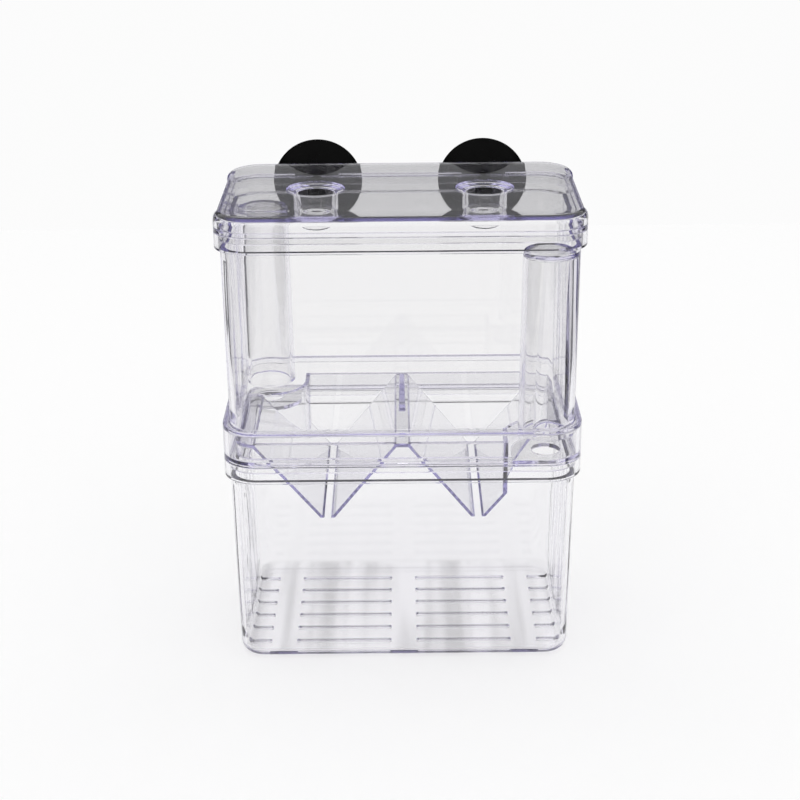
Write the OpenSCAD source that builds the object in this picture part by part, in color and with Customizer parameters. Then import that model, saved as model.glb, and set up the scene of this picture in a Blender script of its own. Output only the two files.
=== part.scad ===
// Two-storey hanging fish breeding box in clear plastic. A lower tray with a slotted floor
// carries an open upper box, a drop-in V-trough separator hangs between the two chambers,
// a lid with two feed funnels closes the top, and two rubber suction cups hold it to the glass.
// Millimetres. +X is right, +Y is back (towards the glass) and +Z is up. The origin is the
// centre of the underside of the lower tray.

/* [Outline] */
// Width over the rims of the lid and of both boxes
rim_w = 151; // [130:0.5:180]
// Depth over the rims
rim_d = 95.5; // [90:0.5:120]
// Corner radius of the rims in plan
rim_r = 15; // [14.5:0.5:20]
// How far the rims stand proud of the box walls
rim_step = 2.5; // [2.2:0.1:4]
// Thickness of the moulded walls, floors and shelves
wall = 2; // [1.6:0.1:2.4]

/* [Heights] */
// Height of the lower box to its seam
lower_h = 92; // [84:0.5:120]
// Height of the rim round the lower box
lower_rim_h = 7.5; // [6.5:0.5:12]
// Height of the upper box, from the mid seam to the lid seam
upper_h = 99; // [92:0.5:130]
// Height of the rim round the upper box
upper_rim_h = 7; // [6.5:0.5:10]
// Height of the wide skirt at the foot of the upper box
skirt_h = 15.8; // [14:0.2:26]
// Height of the lid above its seam
lid_h = 7.9; // [7:0.1:10]

/* [Fits] */
// End play of a suction cup in its slot, per face
end_play = 0.15; // [0.1:0.05:0.4]
// Clearance between a spigot and its socket, per side
spigot_gap = 0.3; // [0.2:0.05:0.6]
// Wall of the spigots
spigot_t = 1.6; // [1.2:0.1:2]
// How far each spigot reaches below its seam
spigot_depth = 3.2; // [2:0.1:4.2]
// Clearance between the separator and the upper box wall, per side
separator_gap = 0.6; // [0.4:0.1:1]
// Radial clearance of a suction cup neck in its slot
neck_gap = 0.08; // [0.04:0.01:0.1]

/* [Lower box floor] */
// Radius of the edge between the walls and the floor
floor_edge_r = 4.5; // [3:0.5:7]
// Width of one drain slot
slot_w = 2.2; // [1.2:0.1:3]
// Rows of drain slots
slot_rows = 6; // [3:1:6]
// Distance from the front wall to the first row
slot_front = 12.35; // [8:0.05:16]
// Distance from the rear wall to the last row
slot_rear = 14.9; // [8:0.05:18]
// Distance from a side wall to the end of its short slots
slot_side = 2; // [1.6:0.1:6]
// Length of a slot in the two short groups
short_slot = 10.5; // [6:0.5:14]
// Half width of the plain strip down the middle of the floor
plain_half = 5.5; // [4:0.5:8]
// Plain strip between a long group and its short group
slot_strip = 11; // [6:0.5:16]

/* [Float posts] */
// Outer radius of a post at its closed top
post_top_r = 10.9; // [10:0.1:11.2]
// Outer radius of a post at its open foot
post_foot_r = 11.9; // [11.3:0.1:12.1]
// Distance from the lid seam down to the top of a post
post_drop = 9.4; // [8.5:0.1:14]
// Height of a post's open foot above the mid seam
post_foot_lift = 10; // [9:0.5:14]
// How far the shelf's pad under a post reaches past the post
pad_lip = 2.6; // [1:0.1:3]
// Radius of the drain hole in that pad
pad_hole_r = 6.2; // [4:0.1:8]

/* [Separator] */
// Height of the separator rim
separator_rim_h = 6.85; // [5:0.05:9]
// Width of the flat margin between the separator's side and its trough
trough_margin = 7.9; // [7.5:0.1:14]
// Half width of the flat on the ridge between the troughs
ridge_half = 2.5; // [2:0.1:5]
// Distance, along X, from a trough's outer edge down to its slot
trough_run = 28.8; // [22:0.1:32]
// Width of the slot along the foot of each trough
trough_slot = 3.4; // [2:0.1:5]
// Depth of the troughs below the top of the separator
trough_depth = 34.5; // [25:0.5:40]
// Clearance between a post's pad and its notch in the separator
notch_gap = 1.2; // [0.6:0.1:2]
// Height of the lifting tab
tab_h = 13; // [10:0.5:22]
// Length of the lifting tab, front to back
tab_len = 12; // [8:0.5:30]
// Thickness of the lifting tab at its root
tab_root = 3; // [2:0.1:4]
// Thickness of the lifting tab at its tip
tab_tip = 2.2; // [1.5:0.1:2.4]

/* [Support shelf] */
// Width of the shelf that carries the separator, at the sides
ledge_side = 6.5; // [4:0.1:9]
// Width of that shelf at the front and the back
ledge_front = 2.05; // [1.6:0.05:2.2]
// Corner radius of the opening inside the shelf
shelf_r = 7; // [3:0.5:9]

/* [Lid] */
// Radius along the top edge of the lid
lid_edge_r = 2; // [1:0.1:2.4]
// Height of the shoulder that joins the lid's spigot to its skirt
lip_root = 1.5; // [1:0.1:2]
// Depth of the finger recess in each side of the lid
recess = 1.6; // [0.8:0.1:2]
// Distance of each feed funnel from the end of the lid
funnel_inset = 40; // [30:0.5:50]
// Distance of the feed funnels behind the middle
funnel_y = 1; // [-5:0.5:10]
// Radius of the funnel mouth
mouth_r = 12.2; // [10:0.1:13]
// Depth of the funnel cone
cone_h = 2.5; // [2:0.1:5]
// Inner radius of the funnel tube
tube_r = 8; // [6.5:0.1:8.5]
// Wall of the funnel tube
tube_t = 1.3; // [1:0.1:1.8]
// Length of the funnel tube below the top of the lid
tube_len = 10.8; // [7:0.1:12]
// Inner radius of the outlet
outlet_r = 5.4; // [4:0.1:6]
// Depth of the outlet's foot below the top of the lid
outlet_len = 17.2; // [13:0.1:18]
// Height of the cone between the tube and the outlet
shoulder_h = 1.6; // [1:0.1:2.5]

/* [Suction cups] */
// Distance of each cup's axis from the end of the box
cup_inset = 38.5; // [33:0.5:50]
// Height of a cup's axis below the lid seam
cup_drop = 3.9; // [3.9:0.1:8]
// Radius of a cup
cup_r = 20; // [15:0.5:22]
// Width of the cut-out in the rear rim for a cup
cutout_w = 19; // [16:0.5:24]
// Radius of the neck
neck_r = 3.1; // [2.5:0.1:3.5]
// Radius of the button on the inner end of the neck
button_r = 5.2; // [4.5:0.1:6]
// Thickness of the button
button_t = 2.8; // [2:0.1:4]
// Radius of the collar between the neck and the cup
collar_r = 3.8; // [3.6:0.1:3.8]
// Distance from the box wall to the cup's rim
cup_reach = 12; // [12:0.1:16]
// Height of the cup's outer dome
dome_h = 8.6; // [6:0.1:8.6]
// Depth of the cup's hollow face
hollow_h = 6.2; // [4:0.1:6.4]
// Width of the flat lip round the cup's hollow
lip_w = 0.9; // [0.6:0.1:1.5]

/* [Hidden] */
$fn = 64;
cut = 1;                                        // how far a cutting solid runs past a face
clear = [0.86, 0.85, 0.93, 0.55];
rubber = [0.06, 0.06, 0.07];

box_w = rim_w - 2 * rim_step;
box_d = rim_d - 2 * rim_step;
box_r = rim_r - rim_step;
in_w = box_w - 2 * wall;
in_d = box_d - 2 * wall;
in_r = box_r - wall;
socket_w = rim_w - 2 * wall;
socket_d = rim_d - 2 * wall;
socket_r = rim_r - wall;

lid_z = lower_h + upper_h;                      // lid seam
top_z = lid_z + lid_h;
skirt_z = lower_h + skirt_h;
shelf_z = lower_h + wall;                       // face that carries the separator
post_x = box_w / 2 - box_r;
post_y = box_d / 2 - box_r;
post_top = lid_z - post_drop;
post_foot = lower_h + post_foot_lift;
POSTS = [[post_x, -post_y], [-post_x, post_y]];

separator_top = shelf_z + separator_rim_h;
separator_w = in_w - 2 * separator_gap;
separator_d = in_d - 2 * separator_gap;
separator_r = in_r - separator_gap;
trough_z = separator_top - trough_depth;
pad_r = post_foot_r + pad_lip;
notch_r = pad_r + notch_gap;
trough_d = separator_d - 2 * wall;
mouth_half = separator_w / 2 - trough_margin;
trough_x = mouth_half - trough_run - trough_slot / 2;

cup_z = lid_z - cup_drop;
cup_x = rim_w / 2 - cup_inset;
funnel_x = rim_w / 2 - funnel_inset;
web_y = box_d / 2;                              // rear face of the wall that holds the necks
neck_slot = neck_r + neck_gap;
slot_pitch = (in_d - slot_front - slot_rear) / (slot_rows - 1);
short_x = in_w / 2 - slot_side - short_slot / 2;
long_slot = in_w / 2 - slot_side - short_slot - slot_strip - plain_half;
long_x = plain_half + long_slot / 2;

// Outline of a rectangle with round corners
module round_rect(w, d, r) {
    square([w - 2 * r, d], center = true);
    square([w, d - 2 * r], center = true);
    for (x = [-1, 1], y = [-1, 1])
        translate([x * (w / 2 - r), y * (d / 2 - r)]) circle(r);
}

// Upright block with round corners, from height z0 to z1
module block(w, d, r, z0, z1) {
    translate([0, 0, z0]) linear_extrude(z1 - z0) round_rect(w, d, r);
}

// Upright ring: an outer outline less one that is t smaller on every side
module ring(w, d, r, t, z0, z1) {
    difference() {
        block(w, d, r, z0, z1);
        block(w - 2 * t, d - 2 * t, r - t, z0 - cut, z1 + cut);
    }
}

// Half section of a block whose lower edge has radius e
module edge_section(half, h, e) {
    translate([0, e]) square([half, h - e]);
    square([half - e, h]);
    intersection() {
        translate([half - e, e]) circle(e);
        square([half, h]);
    }
}

// Whole section, for the straight stretches of such a block
module full_section(width, h, e) {
    translate([-width / 2, e]) square([width, h - e]);
    translate([-width / 2 + e, 0]) square([width - 2 * e, h]);
    for (x = [-1, 1]) translate([x * (width / 2 - e), e]) circle(e);
}

// Block with round corners and a rounded lower edge, standing on z = 0
module soft_block(w, d, r, h, e) {
    for (x = [-1, 1], y = [-1, 1])
        translate([x * (w / 2 - r), y * (d / 2 - r), 0])
            rotate_extrude() edge_section(r, h, e);
    rotate([90, 0, 90])
        linear_extrude(w - 2 * r, center = true) full_section(d, h, e);
    rotate([90, 0, 0])
        linear_extrude(d - 2 * r, center = true) full_section(w, h, e);
}

// Slot with round ends, along X, cut down through a floor
module floor_slot(len, width) {
    for (x = [-1, 1]) translate([x * (len - width) / 2, 0, -cut]) cylinder(h = wall + 2 * cut, r = width / 2);
    translate([-(len - width) / 2, -width / 2, -cut]) cube([len - width, width, wall + 2 * cut]);
}

// Field of drain slots: a long and a short group on each side of the plain strip
module slot_field() {
    for (row = [0 : slot_rows - 1], side = [-1, 1])
        translate([0, slot_front - in_d / 2 + row * slot_pitch, 0]) {
            translate([side * long_x, 0, 0]) floor_slot(long_slot, slot_w);
            translate([side * short_x, 0, 0]) floor_slot(short_slot, slot_w);
        }
}

module lower_box() {
    color(clear) difference() {
        union() {
            soft_block(box_w, box_d, box_r, lower_h - lower_rim_h + wall, floor_edge_r);
            block(rim_w, rim_d, rim_r, lower_h - lower_rim_h, lower_h);
        }
        translate([0, 0, wall]) soft_block(in_w, in_d, in_r, lower_h, floor_edge_r - wall);
        block(socket_w, socket_d, socket_r, lower_h - lower_rim_h + wall, lower_h + cut);
        slot_field();
    }
}

// Float post: a cone of radius r0 at the foot and r1 at the top
module post(at, r0, r1, z0, z1) {
    translate([at.x, at.y, z0]) cylinder(h = z1 - z0, r1 = r0, r2 = r1);
}

// Pocket round a post: a round inner corner of radius r, open to both outer walls
module corner_pocket(at, r) {
    side = [at.x < 0 ? 1 : 0, at.y < 0 ? 0 : 1];
    translate([at.x, at.y]) circle(r);
    translate([at.x, at.y]) mirror([side.x, 0]) mirror([0, side.y]) {
        translate([-r, -rim_r]) square([r + rim_r, rim_r]);
        translate([0, -rim_r]) square([rim_r, r + rim_r]);
    }
}

// Walls of the upper box before the suction cup cut-outs are made
module upper_shell() {
    difference() {
        union() {
            block(box_w, box_d, box_r, skirt_z - wall, lid_z);
            block(rim_w, rim_d, rim_r, lid_z - upper_rim_h, lid_z);
            block(rim_w, rim_d, rim_r, lower_h, skirt_z);
        }
        block(in_w, in_d, in_r, shelf_z, lid_z + cut);
        block(socket_w, socket_d, socket_r, shelf_z, skirt_z - wall);
        block(socket_w, socket_d, socket_r, lid_z - upper_rim_h + wall, lid_z + cut);
        difference() {
            block(in_w - 2 * ledge_side, in_d - 2 * ledge_front, shelf_r, lower_h - cut, shelf_z + cut);
            for (at = POSTS) translate([0, 0, lower_h - 2 * cut])
                linear_extrude(wall + 4 * cut) corner_pocket(at, pad_r);
        }
        for (at = POSTS) translate([at.x, at.y, lower_h - cut]) cylinder(h = wall + 2 * cut, r = pad_hole_r);
    }
    ring(socket_w - 2 * spigot_gap, socket_d - 2 * spigot_gap, socket_r - spigot_gap, spigot_t,
         lower_h - spigot_depth, shelf_z);
}

// Cut-out in the rear rim, and the plain wall inside it that takes the neck slot
module cup_window(x) {
    translate([x - cutout_w / 2, web_y, lid_z - upper_rim_h - cut])
        cube([cutout_w, rim_step + cut, upper_rim_h + 2 * cut]);
}

module cup_web(x) {
    translate([x - cutout_w / 2 - wall, web_y - wall, lid_z - upper_rim_h])
        cube([cutout_w + 2 * wall, wall, upper_rim_h]);
    for (side = [0, 1]) translate([x, 0, 0]) mirror([side, 0, 0])
        translate([cutout_w / 2, web_y - wall, lid_z - upper_rim_h])
            cube([wall, rim_step + wall, upper_rim_h]);
}

module neck_slot_cut(x) {
    translate([x, web_y - wall - cut, cup_z]) rotate([-90, 0, 0])
        cylinder(h = wall + 2 * cut, r = neck_slot);
    translate([x - neck_slot, web_y - wall - cut, cup_z])
        cube([2 * neck_slot, wall + 2 * cut, cup_drop + cut]);
}

module upper_box() {
    color(clear) difference() {
        union() {
            difference() {
                upper_shell();
                for (side = [-1, 1]) cup_window(side * cup_x);
            }
            for (side = [-1, 1]) cup_web(side * cup_x);
            for (at = POSTS) post(at, post_foot_r, post_top_r, post_foot, post_top);
        }
        for (at = POSTS) {
            post(at, post_foot_r - wall, post_top_r - wall, post_foot, post_top - wall);
            post(at, post_foot_r - wall, post_foot_r - wall, post_foot - cut, post_foot + 0.01);
        }
        for (side = [-1, 1]) neck_slot_cut(side * cup_x);
    }
}

// Section of one trough on the +X side. run is how far each plate is set outward.
module trough_section(run) {
    polygon([[ridge_half - run, separator_top],
             [trough_x - trough_slot / 2 - run, trough_z],
             [trough_x + trough_slot / 2 + run, trough_z],
             [mouth_half + run, separator_top]]);
}

module trough(run, half_d, rise) {
    rotate([90, 0, 0]) linear_extrude(2 * half_d, center = true) {
        trough_section(run);
        if (rise > 0) translate([ridge_half, separator_top - 0.01])
            square([mouth_half - ridge_half, rise]);
        if (rise > 0) translate([trough_x - trough_slot / 2, trough_z - rise])
            square([trough_slot, rise + 0.01]);
    }
}

module lifting_tab() {
    translate([0, tab_len / 2, separator_top - wall]) rotate([90, 0, 0]) linear_extrude(tab_len)
        polygon([[-tab_root / 2, 0], [tab_root / 2, 0], [tab_tip / 2, tab_h + wall], [-tab_tip / 2, tab_h + wall]]);
}

module separator() {
    plate_run = wall * sqrt(trough_depth * trough_depth + trough_run * trough_run) / trough_depth;
    color(clear) difference() {
        union() {
            difference() {
                union() {
                    block(separator_w, separator_d, separator_r, separator_top - wall, separator_top);
                    ring(separator_w, separator_d, separator_r, wall, shelf_z, separator_top);
                    for (side = [0, 1]) mirror([side, 0, 0]) trough(plate_run, trough_d / 2, 0);
                }
                for (side = [0, 1]) mirror([side, 0, 0]) trough(0, trough_d / 2, cut);
            }
            for (at = POSTS) intersection() {
                translate([0, 0, trough_z]) linear_extrude(trough_depth) corner_pocket(at, notch_r + wall);
                union() {
                    block(separator_w, separator_d, separator_r, shelf_z, separator_top);
                    mirror([at.x < 0 ? 1 : 0, 0, 0]) trough(plate_run, trough_d / 2, 0);
                }
            }
            lifting_tab();
        }
        for (at = POSTS)
            translate([0, 0, trough_z - cut]) linear_extrude(trough_depth + 2 * cut) corner_pocket(at, notch_r);
    }
}

// Finger recess along one side of the lid
module side_recess() {
    len = rim_d - 2 * rim_r - 2;
    translate([rim_w / 2 - recess, -len / 2, lid_z - spigot_depth - cut])
        cube([recess + cut, len, lid_h + spigot_depth + 3 * cut]);
}

module recess_wall() {
    len = rim_d - 2 * rim_r - 2 + 2 * wall;
    translate([rim_w / 2 - recess - wall, -len / 2, lid_z])
        cube([wall, len, lid_h - wall]);
}

module funnel_body() {
    translate([0, 0, top_z - cone_h - tube_t]) cylinder(h = cone_h, r1 = tube_r + tube_t, r2 = mouth_r + tube_t);
    translate([0, 0, top_z - tube_len]) cylinder(h = tube_len, r = tube_r + tube_t);
    translate([0, 0, top_z - tube_len - shoulder_h])
        cylinder(h = shoulder_h, r1 = outlet_r + tube_t, r2 = tube_r + tube_t);
    translate([0, 0, top_z - outlet_len]) cylinder(h = outlet_len, r = outlet_r + tube_t);
}

module funnel_bore() {
    translate([0, 0, top_z - cone_h]) cylinder(h = cone_h, r1 = tube_r, r2 = mouth_r);
    translate([0, 0, top_z - 0.01]) cylinder(h = cut, r = mouth_r);
    translate([0, 0, top_z - tube_len]) cylinder(h = tube_len, r = tube_r);
    translate([0, 0, top_z - tube_len - shoulder_h])
        cylinder(h = shoulder_h, r1 = outlet_r, r2 = tube_r);
    translate([0, 0, top_z - outlet_len - cut]) cylinder(h = outlet_len, r = outlet_r);
}

module lid() {
    color(clear) difference() {
        union() {
            difference() {
                translate([0, 0, top_z]) mirror([0, 0, 1])
                    soft_block(rim_w, rim_d, rim_r, lid_h, lid_edge_r);
                block(socket_w, socket_d, socket_r, lid_z - cut, top_z - wall);
            }
            difference() {
                union() {
                    ring(socket_w - 2 * spigot_gap, socket_d - 2 * spigot_gap, socket_r - spigot_gap, spigot_t,
                         lid_z - spigot_depth, lid_z + lip_root);
                    ring(rim_w - wall, rim_d - wall, rim_r - wall / 2, spigot_t + spigot_gap + wall / 2,
                         lid_z, lid_z + lip_root);
                }
                for (side = [-1, 1])
                    translate([side * cup_x - cutout_w / 2 - wall - spigot_gap, 0, lid_z - spigot_depth - cut])
                        cube([cutout_w + 2 * wall + 2 * spigot_gap, rim_d, spigot_depth + cut]);
            }
            for (side = [0, 1]) mirror([side, 0, 0]) recess_wall();
            for (side = [-1, 1]) translate([side * funnel_x, funnel_y, 0]) funnel_body();
        }
        for (side = [0, 1]) mirror([side, 0, 0]) side_recess();
        for (side = [-1, 1]) translate([side * funnel_x, funnel_y, 0]) funnel_bore();
    }
}

// Radius of the sphere whose cap is h high and r wide
function cap_sphere(r, h) = (r * r + h * h) / (2 * h);

// Half section of a suction cup. Its axis is up, and 0 is the rear face of the box wall.
module cup_section() {
    rim_at = cup_reach;
    outer = cap_sphere(cup_r, dome_h);
    inner = cap_sphere(cup_r - lip_w, hollow_h);
    difference() {
        intersection() {
            translate([0, rim_at - dome_h + outer]) circle(outer, $fn = 128);
            square([cup_r, rim_at]);
        }
        translate([0, rim_at - hollow_h + inner]) circle(inner, $fn = 128);
    }
    translate([0, end_play]) square([collar_r, rim_at - dome_h + 0.6 - end_play]);
    translate([0, -wall - end_play - button_t]) square([button_r, button_t]);
    translate([0, -wall - end_play - 0.01]) square([neck_r, wall + 2 * end_play + 0.02]);
}

module suction_cup(side) {
    color(rubber) translate([side * cup_x, web_y, cup_z]) rotate([-90, 0, 0])
        rotate_extrude($fn = 96) cup_section();
}

module suction_cup_left() { suction_cup(-1); }
module suction_cup_right() { suction_cup(1); }

lid();
upper_box();
separator();
lower_box();
suction_cup_left();
suction_cup_right();
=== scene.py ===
"""Dresses the clear two-storey fish breeding box for its picture.

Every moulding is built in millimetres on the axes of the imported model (X right, Y back, Z up,
origin under the middle of the lower tray) and is turned into metres when it is finished. The
clear plastic pieces and the rubber cups replace their plain solids one for one, so each rides on
the same body as its solid.
"""

import logging
import math
from dataclasses import dataclass
from enum import Enum
from typing import Iterable, Sequence

import bmesh
import bpy
from mathutils import Matrix, Vector

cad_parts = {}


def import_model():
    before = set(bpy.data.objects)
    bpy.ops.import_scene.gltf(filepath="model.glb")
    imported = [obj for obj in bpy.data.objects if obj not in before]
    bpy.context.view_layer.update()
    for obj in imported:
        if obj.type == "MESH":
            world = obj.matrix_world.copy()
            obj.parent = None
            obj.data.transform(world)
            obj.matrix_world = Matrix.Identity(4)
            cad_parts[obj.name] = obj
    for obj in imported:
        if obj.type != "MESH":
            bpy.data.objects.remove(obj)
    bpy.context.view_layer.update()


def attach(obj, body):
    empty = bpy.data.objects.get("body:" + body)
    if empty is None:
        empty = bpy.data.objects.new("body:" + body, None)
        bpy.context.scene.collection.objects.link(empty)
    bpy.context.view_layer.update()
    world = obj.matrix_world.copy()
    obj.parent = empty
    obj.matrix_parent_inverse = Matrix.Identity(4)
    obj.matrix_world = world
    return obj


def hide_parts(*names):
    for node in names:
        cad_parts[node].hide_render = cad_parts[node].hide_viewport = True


Colour = tuple[float, float, float]

LOG = logging.getLogger("breeding_box")
MM = 0.001
SAME_POINT = 1e-4  # millimetres within which two points are one
SAME_CORNER = 2e-3  # the same, in a shape whose edges are about to be rounded
SOFT_STEPS = 4  # straight pieces in each rounded corner of a section
MOST_RUN = 0.49  # share of a section's side that one rounded corner may take
ON_ITS_BACK = Matrix.Rotation(-math.pi / 2, 4, "X")  # turns an upright axis to face the glass


class Body(Enum):
    """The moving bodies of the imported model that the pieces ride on."""

    TRAY = "base_tray"
    CHAMBER = "chamber"
    DIVIDER = "divider"
    COVER = "cover"
    CUP_LEFT = "cup_left"
    CUP_RIGHT = "cup_right"


class Slot(Enum):
    """The record's material slots."""

    CLEAR = "clear_plastic"
    RUBBER = "cup_rubber"


# Shapes


@dataclass(frozen=True)
class Ring:
    """A level rectangle with round corners: one step on the way round a moulding's wall."""

    width: float
    depth: float
    radius: float
    height: float

    def corner(self) -> tuple[float, float]:
        """Gives the centre of the corner arc in the first quadrant."""
        return self.width / 2 - self.radius, self.depth / 2 - self.radius


@dataclass(frozen=True)
class Bend:
    """A corner of a section: distance across, height, and the radius that softens it."""

    across: float
    height: float
    soft: float = 0.0


def soften(bends: Sequence[Bend]) -> list[tuple[float, float]]:
    """Rounds the corners of a section, all but its two ends.

    Args:
        bends: The section's corners in order.

    Returns:
        Points along the rounded section.
    """
    points: list[tuple[float, float]] = []
    for i, bend in enumerate(bends):
        here = Vector((bend.across, bend.height))
        if bend.soft <= 0 or i in (0, len(bends) - 1):
            points.append((here.x, here.y))
            continue
        before = Vector((bends[i - 1].across, bends[i - 1].height)) - here
        after = Vector((bends[i + 1].across, bends[i + 1].height)) - here
        half = before.angle(after) / 2
        run = min(bend.soft / math.tan(half), before.length * MOST_RUN, after.length * MOST_RUN)
        radius = run * math.tan(half)
        inwards = (before.normalized() + after.normalized()).normalized()
        middle = here + inwards * (radius / math.sin(half))
        start = here + before.normalized() * run - middle
        turn = start.angle_signed(here + after.normalized() * run - middle)
        for step in range(SOFT_STEPS + 1):
            spoke = start.copy()
            spoke.rotate(Matrix.Rotation(-turn * step / SOFT_STEPS, 2))
            points.append((middle.x + spoke.x, middle.y + spoke.y))
    return points


class Solid:
    """A closed shape held in a mesh, which other shapes are joined to or cut from."""

    def __init__(self, form: bmesh.types.BMesh) -> None:
        """Takes over a bmesh, closes its doubles and turns its faces outwards.

        Args:
            form: The mesh in work, which is freed.
        """
        bmesh.ops.remove_doubles(form, verts=form.verts[:], dist=SAME_POINT)
        bmesh.ops.recalc_face_normals(form, faces=form.faces[:])
        self.mesh = bpy.data.meshes.new("shape")
        form.to_mesh(self.mesh)
        form.free()

    def _combine(self, others: Iterable["Solid"], how: str) -> "Solid":
        """Applies one exact boolean for each of the other shapes.

        Args:
            others: The other shapes.
            how: Blender's name for the boolean.

        Returns:
            The same shape.
        """
        for other in others:
            body = bpy.data.objects.new("shape", self.mesh)
            tool = bpy.data.objects.new("tool", other.mesh)
            for item in (body, tool):
                bpy.context.scene.collection.objects.link(item)
            step = body.modifiers.new("combine", "BOOLEAN")
            step.operation = how
            step.solver = "EXACT"
            step.object = tool
            done = body.evaluated_get(bpy.context.evaluated_depsgraph_get())
            self.mesh = bpy.data.meshes.new_from_object(done)
            for item in (body, tool):
                bpy.data.objects.remove(item)
        return self

    def join(self, *others: "Solid") -> "Solid":
        """Melts other shapes into this one."""
        return self._combine(others, "UNION")

    def cut(self, *others: "Solid") -> "Solid":
        """Cuts other shapes out of this one."""
        return self._combine(others, "DIFFERENCE")

    def keep(self, other: "Solid") -> "Solid":
        """Keeps only what lies inside the other shape."""
        return self._combine([other], "INTERSECT")

    def bevel(self, width: float, angle: float = 40.0, segments: int = 2) -> "Solid":
        """Rounds every edge that is sharper than an angle.

        Args:
            width: Width of the rounding in millimetres.
            angle: Smallest angle, in degrees, between two faces at an edge that is rounded.
            segments: Faces across the rounding.

        Returns:
            The same shape.
        """
        form = bmesh.new()
        form.from_mesh(self.mesh)
        bmesh.ops.remove_doubles(form, verts=form.verts[:], dist=SAME_CORNER)
        bmesh.ops.dissolve_limit(form, angle_limit=math.radians(0.5), verts=form.verts[:],
                                 edges=form.edges[:])
        limit = math.radians(angle)
        edges = [e for e in form.edges
                 if len(e.link_faces) == 2 and e.calc_face_angle(0.0) > limit]
        bmesh.ops.bevel(form, geom=edges, offset=width, offset_type="OFFSET", segments=segments,
                        profile=0.5, affect="EDGES", clamp_overlap=True, material=-1)
        form.to_mesh(self.mesh)
        form.free()
        return self

    def finish(self, name: str, body: Body, node: str, slot: Slot, finish: bpy.types.Material,
               smooth_angle: float = 32.0) -> bpy.types.Object:
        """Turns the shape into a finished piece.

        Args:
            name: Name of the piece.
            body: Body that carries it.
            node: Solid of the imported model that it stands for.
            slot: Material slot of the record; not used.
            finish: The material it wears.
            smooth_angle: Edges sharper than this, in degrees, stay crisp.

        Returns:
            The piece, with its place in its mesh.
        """
        mesh = self.mesh
        mesh.transform(Matrix.Scale(MM, 4))
        mesh.name = name
        mesh.shade_smooth()
        mesh.set_sharp_from_angle(angle=math.radians(smooth_angle))
        mesh.materials.clear()
        mesh.materials.append(finish)
        piece = bpy.data.objects.new(name, mesh)
        bpy.context.scene.collection.objects.link(piece)
        even = piece.modifiers.new("even", "WEIGHTED_NORMAL")
        even.keep_sharp = True
        even.weight = 60
        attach(piece, body.value)
        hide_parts(node)
        LOG.info("%s: %d faces on %s", name, len(mesh.polygons), body.value)
        return piece


def _outline(form: bmesh.types.BMesh, ring: Ring, steps: int) -> list[bmesh.types.BMEdge]:
    """Lays the first ring of a wall and gives its edges.

    Args:
        form: The mesh in work, still empty.
        ring: The ring to lay.
        steps: Straight pieces in each corner arc.

    Returns:
        The ring's edges.
    """
    bmesh.ops.create_grid(form, x_segments=1, y_segments=1, size=0.5)
    bmesh.ops.scale(form, vec=(ring.width, ring.depth, 1), verts=form.verts[:])
    bmesh.ops.translate(form, vec=(0, 0, ring.height), verts=form.verts[:])
    bmesh.ops.bevel(form, geom=form.verts[:], offset=ring.radius, offset_type="OFFSET",
                    segments=steps, profile=0.5, affect="VERTICES", clamp_overlap=False,
                    material=-1)
    bmesh.ops.delete(form, geom=form.faces[:], context="FACES_ONLY")
    return form.edges[:]


def moulded_wall(rings: Sequence[Ring], closed: bool, steps: int = 12) -> Solid:
    """Draws a wall through a run of rings.

    Args:
        rings: The rings in order along the wall's section.
        closed: True joins the last ring to the first; False caps both.
        steps: Straight pieces in each corner arc.

    Returns:
        A closed shape.
    """
    form = bmesh.new()
    first = loop = _outline(form, rings[0], steps)
    for before, after in zip(rings, rings[1:]):
        grown = bmesh.ops.extrude_edge_only(form, edges=loop)["geom"]
        loop = [g for g in grown if isinstance(g, bmesh.types.BMEdge)]
        old, new = before.corner(), after.corner()
        scale = after.radius / before.radius
        for vert in (g for g in grown if isinstance(g, bmesh.types.BMVert)):
            sx, sy = math.copysign(1, vert.co.x), math.copysign(1, vert.co.y)
            vert.co.x = sx * (new[0] + (abs(vert.co.x) - old[0]) * scale)
            vert.co.y = sy * (new[1] + (abs(vert.co.y) - old[1]) * scale)
            vert.co.z = after.height
    if closed:
        bmesh.ops.bridge_loops(form, edges=first + loop)
    else:
        bmesh.ops.edgeloop_fill(form, edges=first)
        bmesh.ops.edgeloop_fill(form, edges=loop)
    return Solid(form)


def _spun(points: Sequence[tuple[float, float]], steps: int) -> bmesh.types.BMesh:
    """Spins points, given as radius and height, about the upright axis.

    Args:
        points: The section, from the axis outwards and back to it.
        steps: Faces round the axis.

    Returns:
        A mesh in work.
    """
    form = bmesh.new()
    verts = [form.verts.new((radius, 0, height)) for radius, height in points]
    edges = [form.edges.new(pair) for pair in zip(verts, verts[1:])]
    bmesh.ops.spin(form, geom=verts + edges, cent=(0, 0, 0), axis=(0, 0, 1), angle=math.tau,
                   steps=steps, use_merge=True, use_duplicate=False)
    return form


def turned(section: Sequence[Bend], x: float, y: float, steps: int = 48) -> Solid:
    """Turns a section about an upright axis.

    Args:
        section: Corners from the axis outwards and back to it; across is the radius.
        x: Place of the axis.
        y: Place of the axis.
        steps: Faces round the axis.

    Returns:
        A closed shape.
    """
    form = _spun(soften(section), steps)
    bmesh.ops.remove_doubles(form, verts=form.verts[:], dist=SAME_POINT)
    bmesh.ops.translate(form, vec=(x, y, 0), verts=form.verts[:])
    return Solid(form)


def block(low: Sequence[float], high: Sequence[float]) -> Solid:
    """Makes a box between two corners.

    Args:
        low: Its corner with the least X, Y and Z.
        high: Its corner with the greatest X, Y and Z.

    Returns:
        A closed shape.
    """
    form = bmesh.new()
    bmesh.ops.create_cube(form, size=1.0)
    bmesh.ops.scale(form, vec=[b - a for a, b in zip(low, high)], verts=form.verts[:])
    bmesh.ops.translate(form, vec=[(a + b) / 2 for a, b in zip(low, high)], verts=form.verts[:])
    return Solid(form)


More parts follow.
